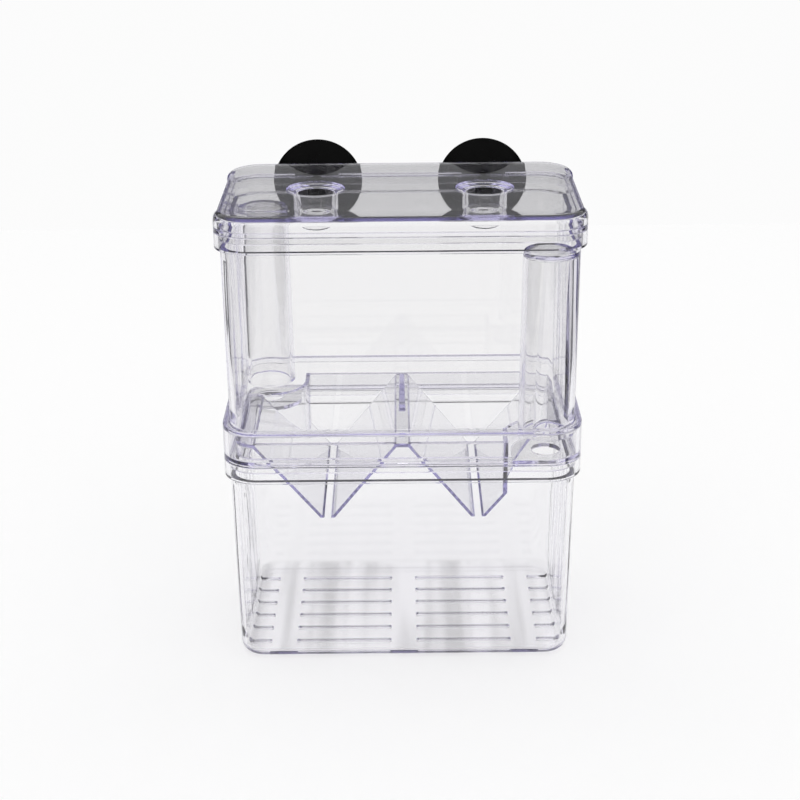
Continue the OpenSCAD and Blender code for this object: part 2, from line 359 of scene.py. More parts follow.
def _stretched(corners: Sequence[tuple[float, float, float]],
               run: tuple[float, float, float]) -> Solid:
    """Fills a flat outline and stretches it along a run.

    Args:
        corners: The outline's corners in order.
        run: Way from the outline to its far copy.

    Returns:
        A closed shape.
    """
    form = bmesh.new()
    face = form.faces.new([form.verts.new(at) for at in corners])
    grown = bmesh.ops.extrude_face_region(form, geom=[face])["geom"]
    far = [g for g in grown if isinstance(g, bmesh.types.BMVert)]
    bmesh.ops.translate(form, vec=run, verts=far)
    return Solid(form)


def plank(outline: Sequence[tuple[float, float]], front: float, back: float) -> Solid:
    """Stretches an outline in the XZ plane from front to back along Y."""
    return _stretched([(x, front, z) for x, z in outline], (0, back - front, 0))


def upright(outline: Sequence[tuple[float, float]], low: float, high: float) -> Solid:
    """Stretches an outline in the XY plane from one height to another."""
    return _stretched([(x, y, low) for x, y in outline], (0, 0, high - low))


# Finishes


class Socket:
    """Wraps a shader socket so that sums on it are written as plain Python."""

    def __init__(self, tree: "Tree", link: bpy.types.NodeSocket) -> None:
        """Keeps the socket and the tree it belongs to."""
        self.tree = tree
        self.link = link

    def _maths(self, how: str, a: "Socket | float", b: "Socket | float") -> "Socket":
        """Adds a Math node."""
        return self.tree.add("ShaderNodeMath", {"operation": how}, {0: a, 1: b})

    def __add__(self, other: "Socket | float") -> "Socket":
        """Adds."""
        return self._maths("ADD", self, other)

    __radd__ = __add__

    def __sub__(self, other: "Socket | float") -> "Socket":
        """Takes away."""
        return self._maths("SUBTRACT", self, other)

    def __rsub__(self, other: "Socket | float") -> "Socket":
        """Is taken away from a number."""
        return self._maths("SUBTRACT", other, self)

    def __mul__(self, other: "Socket | float") -> "Socket":
        """Multiplies."""
        return self._maths("MULTIPLY", self, other)

    __rmul__ = __mul__


class Tree:
    """A material's node tree with one way to add a node."""

    def __init__(self, name: str) -> None:
        """Starts a material with its shader and output only.

        Args:
            name: Name of the material.
        """
        self.material = bpy.data.materials.new(name)
        self.material.use_nodes = True
        self.nodes = self.material.node_tree.nodes
        self.links = self.material.node_tree.links
        self.shader = self.nodes["Principled BSDF"]
        self.output = self.nodes["Material Output"]

    def put(self, target: bpy.types.NodeSocket,
            value: "Socket | float | Sequence[float]") -> None:
        """Sets a socket to a value or links it.

        Args:
            target: The socket.
            value: A value, or a socket to link.
        """
        if isinstance(value, Socket):
            self.links.new(value.link, target)
        else:
            target.default_value = value

    def add(self, kind: str, settings: dict | None = None, values: dict | None = None,
            out: int | str = 0, stops: Sequence[tuple[float, Sequence[float]]] = ()) -> Socket:
        """Adds a node.

        Args:
            kind: Blender's name for the node type.
            settings: Properties that are set first.
            values: Values or links of its inputs, by name or number.
            out: Which output is given back.
            stops: The two stops of a colour ramp, as place and colour.

        Returns:
            The chosen output.
        """
        node = self.nodes.new(kind)
        for key, value in (settings or {}).items():
            setattr(node, key, value)
        for i, (place, colour) in enumerate(stops):
            stop = node.color_ramp.elements[i]
            stop.position = place
            stop.color = (*colour, 1.0)
        for key, value in (values or {}).items():
            self.put(node.inputs[key], value)
        return Socket(self, node.outputs[out])

    def place(self, scale: Sequence[float] = (1.0, 1.0, 1.0)) -> Socket:
        """Gives the object's own coordinates, scaled per axis."""
        spot = self.add("ShaderNodeTexCoord", out="Object")
        return self.add("ShaderNodeMapping", values={"Vector": spot, "Scale": scale})

    def axis(self, where: Socket, letter: str) -> Socket:
        """Gives one coordinate of a place."""
        return self.add("ShaderNodeSeparateXYZ", values={"Vector": where}, out=letter)

    def noise(self, where: Socket, scale: float, detail: float, rough: float = 0.5) -> Socket:
        """Adds a noise pattern.

        Args:
            where: Place that is looked up.
            scale: Cells in a metre.
            detail: Number of finer layers.
            rough: Strength of the finer layers.

        Returns:
            The pattern, from 0 to 1.
        """
        return self.add("ShaderNodeTexNoise",
                        values={"Vector": where, "Scale": scale, "Detail": detail,
                                "Roughness": rough})

    def blend(self, stops: Sequence[tuple[float, Sequence[float]]], share: Socket) -> Socket:
        """Runs from one colour to another as share goes from the first stop to the second."""
        return self.add("ShaderNodeValToRGB", values={"Fac": share}, stops=stops)

    def switch(self, share: Socket, first: Socket, second: Socket) -> Socket:
        """Shows the first shader where share is 0 and the second where it is 1."""
        return self.add("ShaderNodeMixShader", values={0: share, 1: first, 2: second})

    def ramp(self, value: Socket, start: float, end: float) -> Socket:
        """Gives 0 at start and 1 at end with a soft change between."""
        return self.add("ShaderNodeMapRange", {"interpolation_type": "SMOOTHSTEP"},
                        {"Value": value, "From Min": start, "From Max": end})

    def bump(self, height: Socket, strength: float, distance: float) -> None:
        """Feeds the shader's normal with a height.

        Args:
            height: The height, from 0 to 1.
            strength: Share of it that shows.
            distance: Metres that a height of 1 stands for.
        """
        normal = self.add("ShaderNodeBump", values={"Height": height, "Strength": strength,
                                                    "Distance": distance})
        self.put(self.shader.inputs["Normal"], normal)


@dataclass(frozen=True)
class ClearPlastic:
    """Crystal styrene with a violet cast: clear through a wall, violet along an edge.

    Lengths are in metres. A piece's tone is even, or turns violet above a height as painted edge
    glow, or is darkened close to the floor with painted shade and streaks of painted reflection.
    The outer ends of its walls are wavy between two heights.
    """

    name: str
    clear: Colour = (0.98, 0.98, 0.965)
    tint: Colour = (0.53, 0.49, 0.79)
    # Colour of the painted edge glow.
    violet: Colour = (0.60, 0.57, 0.82)
    shadow: Colour = (0.976, 0.975, 0.967)
    density: float = 27.0
    ior: float = 1.53
    haze: float = 0.01
    streak_haze: float = 0.02
    ripple: float = 0.8
    ripple_depth: float = 0.0006
    streak_share: float = 0.35
    wavy: tuple[float, float] = (0.0, 1.0)
    wavy_fade: float = 0.005
    wavy_ends: tuple[float, float] = (0.060, 0.068)
    # Painted edge glow: the height above which the piece is painted violet, and the height over
    # which it fades in.
    painted_glow_from: float | None = None
    painted_glow_fade: float = 0.002
    # Painted shade near the floor: how much the colour is darkened there, in streaks of painted
    # reflection, and the heights where it starts and where it is full.
    painted_shade: float = 0.0
    base_tone: float = 0.99
    painted_shade_heights: tuple[float, float] = (0.0045, 0.0025)

    def tone(self, tree: Tree, height: Socket) -> "Socket | tuple[float, ...]":
        """Gives the colour over the height of the piece.

        Args:
            tree: The material's tree.
            height: Height in the piece.

        Returns:
            A plain colour, or a socket where it changes.
        """
        # Painted edge glow: the colour turns violet above a height.
        if self.painted_glow_from is not None:
            upper = tree.ramp(height, self.painted_glow_from, self.painted_glow_from + self.painted_glow_fade)
            return tree.blend(((0.0, self.clear), (1.0, self.violet)), upper)
        # Painted shade close to the floor, broken into streaks of painted reflection: the colour is
        # darkened below a height.
        if self.painted_shade:
            streaks = tree.noise(tree.place((1.0, 0.06, 1.0)), 70.0, 2.0, 0.6)
            painted_streak_mask = tree.ramp(streaks, 0.42, 0.68)
            return self.base_tone - painted_streak_mask * self.painted_shade * tree.ramp(height, *self.painted_shade_heights)
        return (*self.clear, 1.0)

    def wavy_part(self, tree: Tree, height: Socket, across: Socket) -> Socket:
        """Gives 1 where the walls are wavy and 0 elsewhere.

        Args:
            tree: The material's tree.
            height: Height in the piece.
            across: Distance from the piece's middle, left to right.

        Returns:
            The mask.
        """
        low, high = self.wavy
        band = (tree.ramp(height, low, low + self.wavy_fade)
                * tree.ramp(height, high, high - self.wavy_fade))
        start, end = self.wavy_ends
        return band * tree.ramp(across * across, start ** 2, end ** 2)

    def make(self) -> bpy.types.Material:
        """Builds the material.

        Returns:
            The material.
        """
        tree = Tree(self.name)
        shader = tree.shader.inputs
        streaks = tree.noise(tree.place((1.0, 1.0, 0.05)), 260.0, 1.0)
        swell = tree.noise(tree.place((1.0, 1.0, 0.14)), 80.0, 1.0, 0.4)
        spot = tree.place()
        height = tree.axis(spot, "Z")
        part = self.wavy_part(tree, height, tree.axis(spot, "X"))
        tree.put(shader["IOR"], self.ior)
        tree.put(shader["Transmission Weight"], 1.0)
        tree.put(shader["Roughness"], self.haze + streaks * self.streak_haze)
        tree.put(shader["Base Color"], self.tone(tree, height))
        tree.bump((streaks * self.streak_share + swell) * part, self.ripple, self.ripple_depth)
        inside = tree.add("ShaderNodeVolumeAbsorption",
                          values={"Color": (*self.tint, 1.0), "Density": self.density})
        tree.put(tree.output.inputs["Volume"], inside)
        thin = tree.add("ShaderNodeBsdfTransparent", values={"Color": (*self.shadow, 1.0)})
        shade = tree.add("ShaderNodeLightPath", out="Is Shadow Ray")
        face = tree.switch(shade, Socket(tree, tree.shader.outputs[0]), thin)
        tree.put(tree.output.inputs["Surface"], face)
        return tree.material


@dataclass(frozen=True)
class CupRubber:
    """Soft black rubber with a faint bloom."""

    name: str = "cup rubber"
    colour: Colour = (0.0012, 0.0012, 0.0012)
    bloomed: float = 2.2
    roughness: float = 0.22
    bloom_roughness: float = 0.14
    shine: float = 0.05

    def make(self) -> bpy.types.Material:
        """Builds the material.

        Returns:
            The material.
        """
        tree = Tree(self.name)
        shader = tree.shader.inputs
        bloom = tree.noise(tree.place(), 260.0, 3.0)
        paler = tuple(c * self.bloomed for c in self.colour)
        tree.put(shader["Base Color"], tree.blend(((0.3, self.colour), (0.8, paler)), bloom))
        tree.put(shader["Roughness"], self.roughness + bloom * self.bloom_roughness)
        tree.put(shader["Specular IOR Level"], self.shine)
        tree.bump(bloom, strength=0.15, distance=0.0001)
        return tree.material


# Mouldings


@dataclass(frozen=True)
class Sizes:
    """Sizes that several mouldings share, in millimetres."""

    rim_w: float = 151.0
    rim_d: float = 95.5
    rim_r: float = 15.0
    step: float = 2.5
    wall: float = 2.0
    ledge: float = 0.7
    seam_low: float = 92.0
    seam_high: float = 191.0
    top: float = 198.9
    seat: float = 0.05
    spigot_gap: float = 0.3
    spigot_t: float = 1.6
    spigot_depth: float = 3.2
    post_x: float = 60.5
    post_y: float = 32.75
    cup_x: float = 37.0
    cup_z: float = 187.1
    pocket_steps: int = 16

    def ring(self, inset: float, height: float) -> Ring:
        """Gives the rim's outline moved inwards by inset."""
        return Ring(self.rim_w - 2 * inset, self.rim_d - 2 * inset, self.rim_r - inset, height)

    def rings(self, bends: Sequence[Bend]) -> list[Ring]:
        """Gives the rings along a section whose across is the inset from the rim."""
        return [self.ring(across, height) for across, height in soften(bends)]

    def posts(self) -> tuple[tuple[float, float], ...]:
        """Gives the places of the two corner posts."""
        return (self.post_x, -self.post_y), (-self.post_x, self.post_y)

    def pocket(self, post: tuple[float, float], radius: float,
               reach: float) -> list[tuple[float, float]]:
        """Outlines the corner pocket round a post, open to both outer walls.

        Args:
            post: Place of the post.
            radius: Radius of the pocket's round inner side.
            reach: How far the pocket runs outwards past the post's axis.

        Returns:
            Corners of the outline.
        """
        sx, sy = math.copysign(1, post[0]), math.copysign(1, post[1])
        angles = [math.pi / 2 * i / self.pocket_steps for i in range(self.pocket_steps + 1)]
        arc = [(-radius * math.cos(a), radius * math.sin(a)) for a in angles]
        local = [(-radius, -reach), *arc, (reach, radius), (reach, -reach)]
        return [(post[0] + sx * x, post[1] - sy * y) for x, y in local]


@dataclass
class LowerTray:
    """The lower box: a drafted tray with a soft lower edge, a slotted floor and a socket rim."""

    sizes: Sizes
    finish: bpy.types.Material
    draft: float = 1.4
    rim_h: float = 7.5
    rows: int = 6
    first_row: float = -30.9
    pitch: float = 11.85
    slot_w: float = 2.2
    slot_spans: tuple[tuple[float, float], ...] = ((5.5, 47.5), (58.5, 69.0))
    slot_flare: tuple[tuple[float, float], ...] = ((-1, 0.5), (0.25, 0.0), (1.75, 0.0), (3, 0.9))

    def shell(self) -> Solid:
        """Draws the tray without its slots.

        Returns:
            A closed shape.
        """
        s = self.sizes
        low = s.seam_low - self.rim_h
        inside = s.step + s.wall
        bends = [Bend(12, 0), Bend(s.step + self.draft, 0, 4.5), Bend(s.step, low, 0.3),
                 Bend(0, low, 0.5), Bend(0, s.seam_low, 0.25), Bend(s.wall, s.seam_low, 0.25),
                 Bend(s.wall, low + s.ledge, 0.1), Bend(inside, low + s.ledge, 0.2),
                 Bend(inside + self.draft, s.wall, 2.8), Bend(12, s.wall)]
        return moulded_wall(s.rings(bends), closed=False)

    def slots(self) -> list[Solid]:
        """Makes the cutters for the drain slots, one per row and group.

        Returns:
            The cutters.
        """
        cutters = []
        for row in range(self.rows):
            for side in (-1, 1):
                for near, far in self.slot_spans:
                    length = far - near
                    rings = [Ring(length + grow, self.slot_w + grow,
                                  (self.slot_w + grow) / 2 - 0.01, height)
                             for height, grow in self.slot_flare]
                    slot = moulded_wall(rings, closed=False, steps=6)
                    middle = (side * (near + far) / 2, self.first_row + row * self.pitch, 0)
                    slot.mesh.transform(Matrix.Translation(middle))
                    cutters.append(slot)
        return cutters

    def build(self) -> None:
        """Builds and finishes the tray."""
        tray = self.shell()
        field_of_slots = bmesh.new()
        for slot in self.slots():
            field_of_slots.from_mesh(slot.mesh)
        tray.cut(Solid(field_of_slots))
        tray.finish("lower_tray", Body.TRAY, "lower_box", Slot.CLEAR, self.finish)


@dataclass
class UpperChamber:
    """The upper box: skirt, shelf, rim, two float posts and the cup windows."""

    sizes: Sizes
    finish: bpy.types.Material
    draft: float = 0.55
    rim_h: float = 7.0
    skirt_h: float = 15.8
    shelf: tuple[float, float, float] = (129.0, 82.4, 7.0)
    post_foot_r: float = 11.9
    post_top_r: float = 10.9
    post_foot_z: float = 102.0
    post_top_z: float = 181.6
    pad_r: float = 14.5
    pad_hole_r: float = 6.2
    pad_hole_z: tuple[float, float] = (85.0, 98.0)
    shelf_edge: float = 0.35
    window_w: float = 19.0
    cheek_t: float = 2.0
    neck_slot: float = 3.18

    def shell(self) -> Solid:
        """Draws the walls from the spigot at the foot up to the rim and back down inside.

        Returns:
            A closed shape.
        """
        s = self.sizes
        foot = s.seam_low + s.seat
        shelf_z = s.seam_low + s.wall
        skirt = s.seam_low + self.skirt_h
        low = s.seam_high - self.rim_h
        out = s.wall + s.spigot_gap
        inner = out + s.spigot_t
        tip = s.seam_low - s.spigot_depth
        inside = s.step + s.wall
        bends = [Bend(inner + 0.6, foot), Bend(inner, foot, 0.3), Bend(inner, tip, 0.4),
                 Bend(out, tip, 0.4), Bend(out, foot, 0.2), Bend(0, foot, 0.25),
                 Bend(0, skirt, 0.45), Bend(s.step + self.draft, skirt, 0.4),
                 Bend(s.step, low, 0.3), Bend(0, low, 0.5), Bend(0, s.seam_high, 0.25),
                 Bend(s.wall, s.seam_high, 0.25), Bend(s.wall, low + s.ledge, 0.1),
                 Bend(inside, low + s.ledge, 0.2), Bend(inside + self.draft, skirt - s.wall, 0.5),
                 Bend(s.wall, skirt - s.wall, 0.6), Bend(s.wall, shelf_z, 0.4),
                 Bend(inner, shelf_z)]
        w, d, r = self.shelf
        soft = self.shelf_edge
        edge = [Ring(w + 2 * soft, d + 2 * soft, r + soft, shelf_z), Ring(w, d, r, shelf_z - soft),
                Ring(w, d, r, foot + soft), Ring(w + 2 * soft, d + 2 * soft, r + soft, foot)]
        return moulded_wall(s.rings(bends) + edge, closed=True)

    def pads(self) -> list[Solid]:
        """Makes the shelf's corner pads under the posts.

        Returns:
            One pad for each post.
        """
        s = self.sizes
        shelf_z = s.seam_low + s.wall
        trim = moulded_wall([s.ring(3.0, s.seam_low + 0.12), s.ring(3.0, shelf_z - 0.06)],
                            closed=False)
        return [upright(s.pocket(post, self.pad_r, 12.0), s.seam_low - 1, shelf_z + 1).keep(trim)
                for post in s.posts()]

    def post(self, at: tuple[float, float]) -> tuple[Solid, Solid, Solid]:
        """Makes a post's outside, its hollow and the drain hole under it.

        Args:
            at: Place of the post.

        Returns:
            The outside, the hollow and the hole.
        """
        t = self.sizes.wall
        foot, top = self.post_foot_z, self.post_top_z
        outside = turned([
            Bend(0, foot), Bend(self.post_foot_r, foot, 0.5), Bend(self.post_top_r, top, 1.4),
            Bend(0, top)], *at, steps=64)
        hollow = turned([
            Bend(0, foot - 3), Bend(self.post_foot_r - t + 0.4, foot - 3),
            Bend(self.post_foot_r - t, foot + 0.4), Bend(self.post_top_r - t, top - t, 1.1),
            Bend(0, top - t)], *at, steps=64)
        low, high = self.pad_hole_z
        hole = turned([
            Bend(0, low), Bend(self.pad_hole_r, low), Bend(self.pad_hole_r, high),
            Bend(0, high)], *at)
        return outside, hollow, hole

    def window(self, x: float) -> tuple[Solid, list[Solid], list[Solid]]:
        """Makes the cutter of a cup window, the web behind it, and the cutters of the neck slot.

        Args:
            x: Place of the window's middle.

        Returns:
            The cutter, the web with its cheeks, and the neck slot's cutters.
        """
        s = self.sizes
        back = s.rim_d / 2 - s.step
        low = s.seam_high - self.rim_h
        half = self.window_w / 2
        opening = block((x - half, back, low - 1), (x + half, back + 5, s.seam_high + 1))
        web = block((x - half - 1.9, back - s.wall, low + 0.9),
                    (x + half + 1.9, back - 0.05, s.seam_high - 0.04))
        thick = self.cheek_t / 2
        cheeks = [block((x + side * (half + thick) - thick, back - 1, low + 0.8),
                        (x + side * (half + thick) + thick, back + 1.6, s.seam_high - 0.06))
                  for side in (-1, 1)]
        bore = turned([
            Bend(0, back - 4), Bend(self.neck_slot, back - 4), Bend(self.neck_slot, back + 2),
            Bend(0, back + 2)], 0, 0, steps=40)
        bore.mesh.transform(Matrix.Translation((x, 0, s.cup_z)) @ ON_ITS_BACK)
        throat = block((x - self.neck_slot, back - 4, s.cup_z),
                       (x + self.neck_slot, back + 2, s.seam_high + 2))
        return opening, [web, *cheeks], [bore, throat]

    def build(self) -> None:
        """Builds and finishes the upper box."""
        s = self.sizes
        box = self.shell()
        windows = [self.window(side * s.cup_x) for side in (-1, 1)]
        for opening, webs, necks in windows:
            box.cut(opening).join(*webs).cut(*necks)
        box.join(*self.pads())
        for outside, hollow, hole in (self.post(at) for at in s.posts()):
            box.join(outside).cut(hollow, hole)
        box.finish("upper_chamber", Body.CHAMBER, "upper_box", Slot.CLEAR, self.finish)


@dataclass
class Divider:
    """The drop-in separator with two V-troughs and a lifting tab."""

    sizes: Sizes
    finish: bpy.types.Material
    width: float = 140.8
    depth: float = 85.3
    radius: float = 9.9
    rim_h: float = 6.85
    plate: float = 1.25
    mouth: float = 62.5
    ridge: float = 2.5
    slot_x: float = 32.0
    slot_w: float = 2.8
    drop: float = 34.5
    notch_r: float = 16.4
    notch_wall: float = 1.8
    tab_h: float = 13.0
    tab_len: float = 12.0
    tab_foot: float = 1.5
    tab_tip: float = 1.1

    @property
    def foot(self) -> float:
        """Height of the face that rests on the shelf."""
        return self.sizes.seam_low + self.sizes.wall + self.sizes.seat

    @property
    def crown(self) -> float:
        """Height of the separator's top."""
        return self.foot + self.rim_h

    def tray(self) -> Solid:
        """Draws the top plate with its hanging rim.

        Returns:
            A closed shape.
        """
        t = self.sizes.wall
        bends = [Bend(8, self.crown), Bend(0, self.crown, 0.5), Bend(0, self.foot, 0.4),
                 Bend(t, self.foot, 0.4), Bend(t, self.crown - t, 0.5), Bend(8, self.crown - t)]
        return moulded_wall([Ring(self.width - 2 * a, self.depth - 2 * a, self.radius - a, z)
                             for a, z in soften(bends)], closed=False)

    def wedge(self, side: int, run: float, rise: float) -> list[tuple[float, float]]:
        """Outlines one trough, each plate set outwards by run.

        Args:
            side: 1 for the right trough, -1 for the left.
            run: How far each plate is set outwards.
            rise: How far the outline goes on above the crown.

        Returns:
            Corners of the outline.
        """
        foot = self.crown - self.drop
        inner_foot, outer_foot = self.slot_x - self.slot_w / 2, self.slot_x + self.slot_w / 2
        inner = (inner_foot - self.ridge) / self.drop * rise
        outer = (self.mouth - outer_foot) / self.drop * rise
        points = [(self.ridge - run - inner, self.crown + rise), (inner_foot - run, foot),
                  (outer_foot + run, foot), (self.mouth + run + outer, self.crown + rise)]
        return [(side * x, z) for x, z in points]

    def build(self) -> None:
        """Builds and finishes the separator."""
        s = self.sizes
        half = self.depth / 2 - s.wall
        slope = math.hypot(self.drop, self.mouth - self.slot_x - self.slot_w / 2) / self.drop
        run = self.plate * slope
        foot = self.crown - self.drop
        piece = self.tray()
        for side in (-1, 1):
            piece.join(plank(self.wedge(side, run, -0.05), -half, half))
        for side in (-1, 1):
            piece.cut(plank(self.wedge(side, 0.0, 1.0), -half - 0.01, half + 0.01),
                      block((side * self.slot_x - self.slot_w / 2, -half - 1, foot - 1),
                            (side * self.slot_x + self.slot_w / 2, half + 1, foot + 0.5)))
        for post in s.posts():
            side = int(math.copysign(1, post[0]))
            skirt = moulded_wall([Ring(self.width - 0.04, self.depth - 0.04, self.radius - 0.02, z)
                                  for z in (self.foot + 0.03, self.crown - 0.03)], closed=False)
            lining = s.pocket(post, self.notch_r + self.notch_wall, 12.0)
            reach = upright(lining, self.foot - 1, self.crown + 1)
            low = plank(self.wedge(side, run - 0.02, -0.12), -half + 0.02, half - 0.02)
            deep = upright(lining, foot - 1, self.crown - 0.08)
            piece.join(reach.keep(skirt), deep.keep(low))
            notch = s.pocket(post, self.notch_r, 14.0)
            piece.cut(upright(notch, foot - 2, self.crown + 2))
        tab_top = self.crown + self.tab_h
        tab = plank([(-self.tab_foot, self.crown - 1), (self.tab_foot, self.crown - 1),
                     (self.tab_tip, tab_top), (-self.tab_tip, tab_top)],
                    -self.tab_len / 2, self.tab_len / 2)
        piece.join(tab.bevel(0.5, 60))
        piece.bevel(0.25)
        piece.finish("divider", Body.DIVIDER, "separator", Slot.CLEAR, self.finish)


@dataclass
class Cover:
    """The lid: plate, skirt and spigot, two feed funnels and a finger recess along each side."""

    sizes: Sizes
    finish: bpy.types.Material
    edge: float = 3.2
    recess: float = 1.6
    root: float = 1.5
    funnel_x: float = 35.5
    funnel_y: float = 1.0
    mouth_r: float = 12.2
    cone_h: float = 1.7
    tube_r: float = 8.1
    tube_t: float = 1.3
    tube_len: float = 10.8
    outlet_r: float = 5.4
    outlet_len: float = 17.2
    shoulder: float = 1.6
    wedge_grow: float = 0.15
    wedge_t: float = 0.6
    sunk: float = 0.7
    cup_gap: float = 9.7

    def shell(self) -> Solid:
        """Draws the plate, skirt and spigot.

        Returns:
            A closed shape.
        """
        s = self.sizes
        seam = s.seam_high + s.seat
        out = s.wall + s.spigot_gap
        inner = out + s.spigot_t
        tip = s.seam_high - s.spigot_depth
        root = s.seam_high + self.root
        bends = [Bend(12, s.top), Bend(0, s.top, self.edge), Bend(0, seam, 0.25),
                 Bend(out, seam, 0.2), Bend(out, tip, 0.3), Bend(inner, tip, 0.3),
                 Bend(inner, root, 0.4), Bend(s.wall, root, 0.3), Bend(s.wall, s.top - s.wall, 0.4),
                 Bend(12, s.top - s.wall)]
        return moulded_wall(s.rings(bends), closed=False)

    def funnel(self, x: float) -> tuple[Solid, Solid]:
        """Makes a feed funnel's outside and its bore.

        Args:
            x: Place of the funnel's axis.

        Returns:
            The outside and the bore.
        """
        top = self.sizes.top
        foot = top - self.outlet_len
        neck = top - self.tube_len - self.shoulder
        under = top - self.cone_h - self.wedge_t
        outlet, tube = self.outlet_r + self.tube_t, self.tube_r + self.tube_t
        ring = self.mouth_r + self.wedge_grow
        outside = turned([
            Bend(0, foot), Bend(outlet, foot, 0.5), Bend(outlet, neck, 0.5),
            Bend(tube, top - self.tube_len, 1.2), Bend(tube, under, 0.4), Bend(ring, under, 0.4),
            Bend(ring, top - self.sunk), Bend(0, top - self.sunk)], x, self.funnel_y)
        bore = turned([
            Bend(0, foot - 1), Bend(self.outlet_r + 0.3, foot - 1),
            Bend(self.outlet_r, foot + 0.5), Bend(self.outlet_r, neck, 0.5),
            Bend(self.tube_r, top - self.tube_len, 0.9), Bend(self.tube_r, top - self.cone_h, 0.3),
            Bend(self.mouth_r, top - 0.25, 0.5), Bend(self.mouth_r + 0.8, top + 1),
            Bend(0, top + 1)], x, self.funnel_y)
        return outside, bore

    def build(self) -> None:
        """Builds and finishes the lid."""
        s = self.sizes
        lid = self.shell()
        back = s.rim_d / 2 - s.wall - s.spigot_gap
        for side in (-1, 1):
            lid.cut(block((side * s.cup_x - self.cup_gap, back - 3, s.seam_high - 8),
                          (side * s.cup_x + self.cup_gap, back + 0.1,
                           s.seam_high + self.root + 0.1)))
        run = s.rim_d / 2 - s.rim_r - 1
        side_x = s.rim_w / 2 - self.recess
        for side in (-1, 1):
            low, high = sorted((side * side_x, side * (side_x - s.wall)))
            lid.join(block((low, -run - s.wall, s.seam_high + s.seat + 0.02),
                           (high, run + s.wall, s.top - 1.0)))
            low, high = sorted((side * side_x, side * (side_x + 9)))
            lid.cut(block((low, -run, s.seam_high - 6), (high, run, s.top + 3)))
            outside, bore = self.funnel(side * self.funnel_x)
            lid.join(outside).cut(bore)
        lid.finish("cover", Body.COVER, "lid", Slot.CLEAR, self.finish)


@dataclass
class SuctionCup:
    """A rubber cup: button, neck, collar, domed back and hollow face."""

    sizes: Sizes
    finish: bpy.types.Material
    side: int
    radius: float = 20.0
    reach: float = 12.0
    dome: float = 8.6
    hollow: float = 6.2
    lip: float = 0.9
    neck_r: float = 3.1
    button_r: float = 5.2
    button_t: float = 2.8
    collar_r: float = 3.8
    play: float = 0.15
    faces: int = 96

    def _cap(self, radius: float, height: float, low: float,
             steps: int) -> list[tuple[float, float]]:
        """Gives points of a spherical cap whose rim lies at the cup's reach.

        Args:
            radius: Radius of the rim.
            height: Height of the cap.
            low: Radius of the first point.
            steps: Straight pieces from the first point to the rim.

        Returns:
            Points as radius and height, outwards.
        """
        ball = (radius * radius + height * height) / (2 * height)
        points = []
        for i in range(steps + 1):
            r = low + (radius - low) * i / steps
            points.append((r, self.reach - height + ball - math.sqrt(ball * ball - r * r)))
        return points

    def build(self) -> None:
        """Builds and finishes the cup about its own axis, then lays it down facing the glass."""
        s = self.sizes
        inside_wall = -s.wall - self.play
        stem = [Bend(0, inside_wall - self.button_t),
                Bend(self.button_r, inside_wall - self.button_t, 1.1),
                Bend(self.button_r, inside_wall, 0.5), Bend(self.neck_r, inside_wall, 0.2),
                Bend(self.neck_r, self.play, 0.2), Bend(self.collar_r, self.play, 0.4),
                Bend(self.collar_r, self.reach - self.dome + 0.42)]
        outer = self._cap(self.radius, self.dome, self.collar_r + 0.6, 14)
        lip = [(self.radius - 0.05, self.reach - 0.45), (self.radius - 0.25, self.reach - 0.1)]
        inner = self._cap(self.radius - self.lip, self.hollow, 0.0, 16)
        cup = Solid(_spun(soften(stem) + outer[:-1] + lip + inner[::-1], self.faces))
        place = Matrix.Translation((self.side * s.cup_x, s.rim_d / 2 - s.step, s.cup_z))
        cup.mesh.transform(place @ ON_ITS_BACK)
        name = "right" if self.side > 0 else "left"
        body = Body.CUP_RIGHT if self.side > 0 else Body.CUP_LEFT
        cup.finish(f"cup_{name}", body, f"suction_cup_{name}", Slot.RUBBER, self.finish)


# Studio


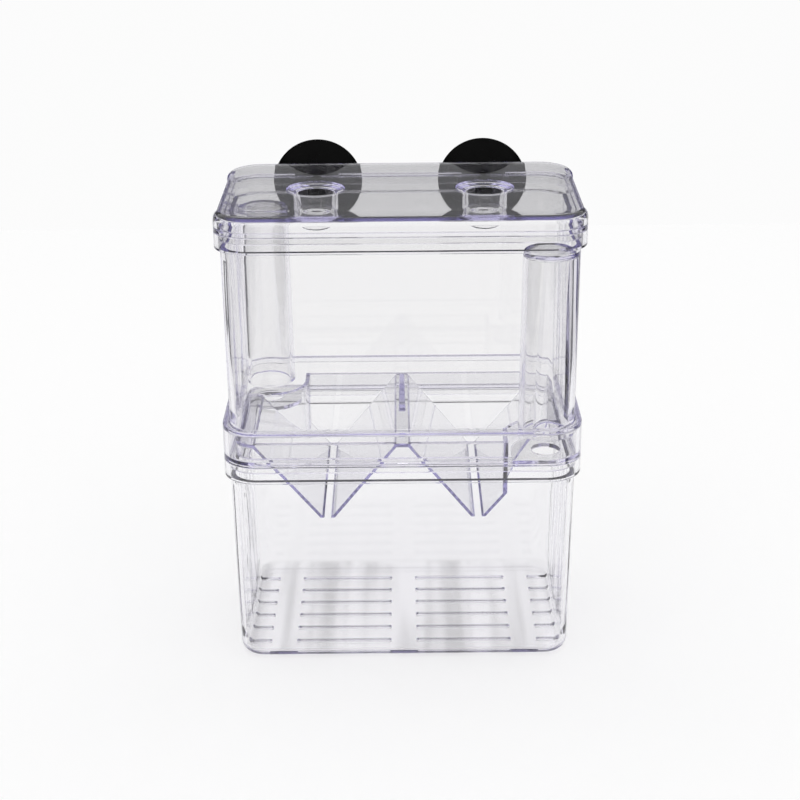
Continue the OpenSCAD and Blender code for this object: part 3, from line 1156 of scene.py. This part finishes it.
@dataclass
class Studio:
    """Pale floor and background, plain soft light, and the camera at the photograph's angle."""

    focal_px: float = 1709.6
    picture_px: float = 800.0
    sensor: float = 36.0
    shift: float = -0.0025
    place: tuple[float, float, float] = (0.0, -0.6991, 0.3783)
    pitch: float = 21.46
    roll: float = -0.504
    bounces: int = 32
    light: Colour = (0.345, 0.345, 0.345)
    backdrop: Colour = (0.97, 0.97, 0.97)
    mirror: Colour = (0.22, 0.22, 0.22)
    inner: Colour = (0.15, 0.15, 0.16)
    deep: Colour = (0.32, 0.30, 0.40)
    lamp_height: float = 2.0
    lamp_size: float = 8.0
    lamp_watts: float = 161.0
    ground: Colour = (0.985, 0.985, 0.985)
    ground_size: tuple[float, float] = (0.76, 1.3)
    ground_drop: float = 0.0004
    card_size: tuple[float, float] = (5.0, 0.9)
    card_place: tuple[float, float, float] = (0.0, 1.6, -0.15)

    def camera(self) -> None:
        """Sets the camera up."""
        data = bpy.data.cameras.new("camera")
        data.sensor_width = self.sensor
        data.lens = self.focal_px * self.sensor / self.picture_px
        data.shift_x = self.shift
        camera = bpy.data.objects.new("camera", data)
        bpy.context.scene.collection.objects.link(camera)
        camera.matrix_world = (Matrix.Translation(self.place)
                               @ Matrix.Rotation(math.radians(90 - self.pitch), 4, "X")
                               @ Matrix.Rotation(math.radians(self.roll), 4, "Z"))
        bpy.context.scene.camera = camera

    def world(self) -> None:
        """Makes a plain world: white behind the box, dimmer where the plastic mirrors the room.

        Each rule names the ray outputs that are multiplied, the colour shown where their product
        is above the least value, and that value. A later rule goes over an earlier one.
        """
        world = bpy.data.worlds.new("studio")
        world.use_nodes = True
        bpy.context.scene.world = world
        nodes, links = world.node_tree.nodes, world.node_tree.links
        path = nodes.new("ShaderNodeLightPath")
        last = nodes["Background"]
        last.inputs["Color"].default_value = (*self.light, 1.0)
        rules = ((("Is Camera Ray",), self.backdrop, 0.5),
                 (("Is Transmission Ray",), self.backdrop, 0.5),
                 (("Glossy Depth",), self.inner, 0.5),
                 (("Glossy Depth", "Is Reflection Ray"), self.mirror, 0.5),
                 (("Glossy Depth",), self.deep, 1.5),
                 (("Is Diffuse Ray",), self.light, 0.5))
        for outputs, colour, least in rules:
            shade = nodes.new("ShaderNodeBackground")
            shade.inputs["Color"].default_value = (*colour, 1.0)
            above = nodes.new("ShaderNodeMath")
            above.operation = "GREATER_THAN"
            above.inputs[1].default_value = least
            both = nodes.new("ShaderNodeMath")
            both.operation = "MULTIPLY"
            both.inputs[1].default_value = 1.0
            for i, output in enumerate(outputs):
                links.new(path.outputs[output], both.inputs[i])
            links.new(both.outputs[0], above.inputs[0])
            mix = nodes.new("ShaderNodeMixShader")
            links.new(above.outputs[0], mix.inputs[0])
            links.new(last.outputs[0], mix.inputs[1])
            links.new(shade.outputs[0], mix.inputs[2])
            last = mix
        links.new(last.outputs[0], nodes["World Output"].inputs["Surface"])

    def sheet(self, name: str, size: tuple[float, float], place: Matrix,
              finish: bpy.types.Material) -> None:
        """Puts a flat sheet into the studio.

        Args:
            name: Name of the sheet.
            size: Its width and depth in metres.
            place: Where it goes from lying flat about the origin.
            finish: The material it wears.
        """
        form = bmesh.new()
        bmesh.ops.create_grid(form, x_segments=1, y_segments=1, size=0.5)
        bmesh.ops.scale(form, vec=(*size, 1.0), verts=form.verts[:])
        mesh = bpy.data.meshes.new(name)
        form.to_mesh(mesh)
        form.free()
        mesh.transform(place)
        mesh.materials.append(finish)
        sheet = bpy.data.objects.new(name, mesh)
        bpy.context.scene.collection.objects.link(sheet)

    def card(self) -> None:
        """Stands a low white card behind the box, which upright and sloped walls mirror."""
        tree = Tree("card white")
        glow = tree.add("ShaderNodeEmission", values={"Color": (*self.backdrop, 1.0)})
        clear = tree.add("ShaderNodeBsdfTransparent")
        unseen = (tree.add("ShaderNodeLightPath", out="Is Diffuse Ray")
                  + tree.add("ShaderNodeLightPath", out="Is Shadow Ray"))
        tree.put(tree.output.inputs["Surface"], tree.switch(unseen, glow, clear))
        tree.material.cycles.emission_sampling = "NONE"
        stood_up = Matrix.Translation(self.card_place) @ Matrix.Rotation(math.pi / 2, 4, "X")
        self.sheet("card", self.card_size, stood_up, tree.material)

    def lamp(self) -> None:
        """Hangs a wide soft lamp over the box, facing down."""
        data = bpy.data.lights.new("lamp", "AREA")
        data.energy = self.lamp_watts
        data.size = self.lamp_size
        lamp = bpy.data.objects.new("lamp", data)
        bpy.context.scene.collection.objects.link(lamp)
        lamp.matrix_world = Matrix.Translation((0.0, 0.0, self.lamp_height))

    def floor(self) -> None:
        """Lays the floor under the box."""
        tree = Tree("floor")
        tree.put(tree.shader.inputs["Base Color"], (*self.ground, 1.0))
        tree.put(tree.shader.inputs["Roughness"], 0.9)
        self.sheet("floor", self.ground_size, Matrix.Translation((0, 0, -self.ground_drop)),
                   tree.material)

    def build(self) -> None:
        """Sets the whole studio up."""
        scene = bpy.context.scene
        scene.view_settings.view_transform = "Standard"
        scene.cycles.max_bounces = self.bounces
        scene.cycles.transmission_bounces = self.bounces
        scene.cycles.glossy_bounces = self.bounces
        scene.cycles.transparent_max_bounces = self.bounces
        self.camera()
        self.world()
        self.floor()
        self.card()
        self.lamp()


def main() -> None:
    """Builds every piece and the studio."""
    logging.basicConfig(level=logging.INFO, format="%(name)s: %(message)s")
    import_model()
    sizes = Sizes()
    # The tray's colour carries painted shade and streaks of painted reflection close to its floor.
    tray = ClearPlastic("tray plastic", tint=(0.60, 0.58, 0.71), wavy=(0.006, 0.084), painted_shade=0.24)
    chamber = ClearPlastic("chamber plastic", clear=(0.968, 0.968, 0.955), wavy=(0.109, 0.184))
    # The separator's lifting tab is painted violet as painted edge glow.
    insert = ClearPlastic("insert plastic", clear=(0.93, 0.93, 0.93), ripple=0.05,
                          painted_glow_from=0.102)
    flat = ClearPlastic("lid plastic", clear=(1.0, 1.0, 0.994), ripple=0.05)
    rubber = CupRubber().make()
    LowerTray(sizes, tray.make()).build()
    UpperChamber(sizes, chamber.make()).build()
    Divider(sizes, insert.make()).build()
    Cover(sizes, flat.make()).build()
    for side in (-1, 1):
        SuctionCup(sizes, rubber, side).build()
    Studio().build()


if __name__ == "__main__":
    main()
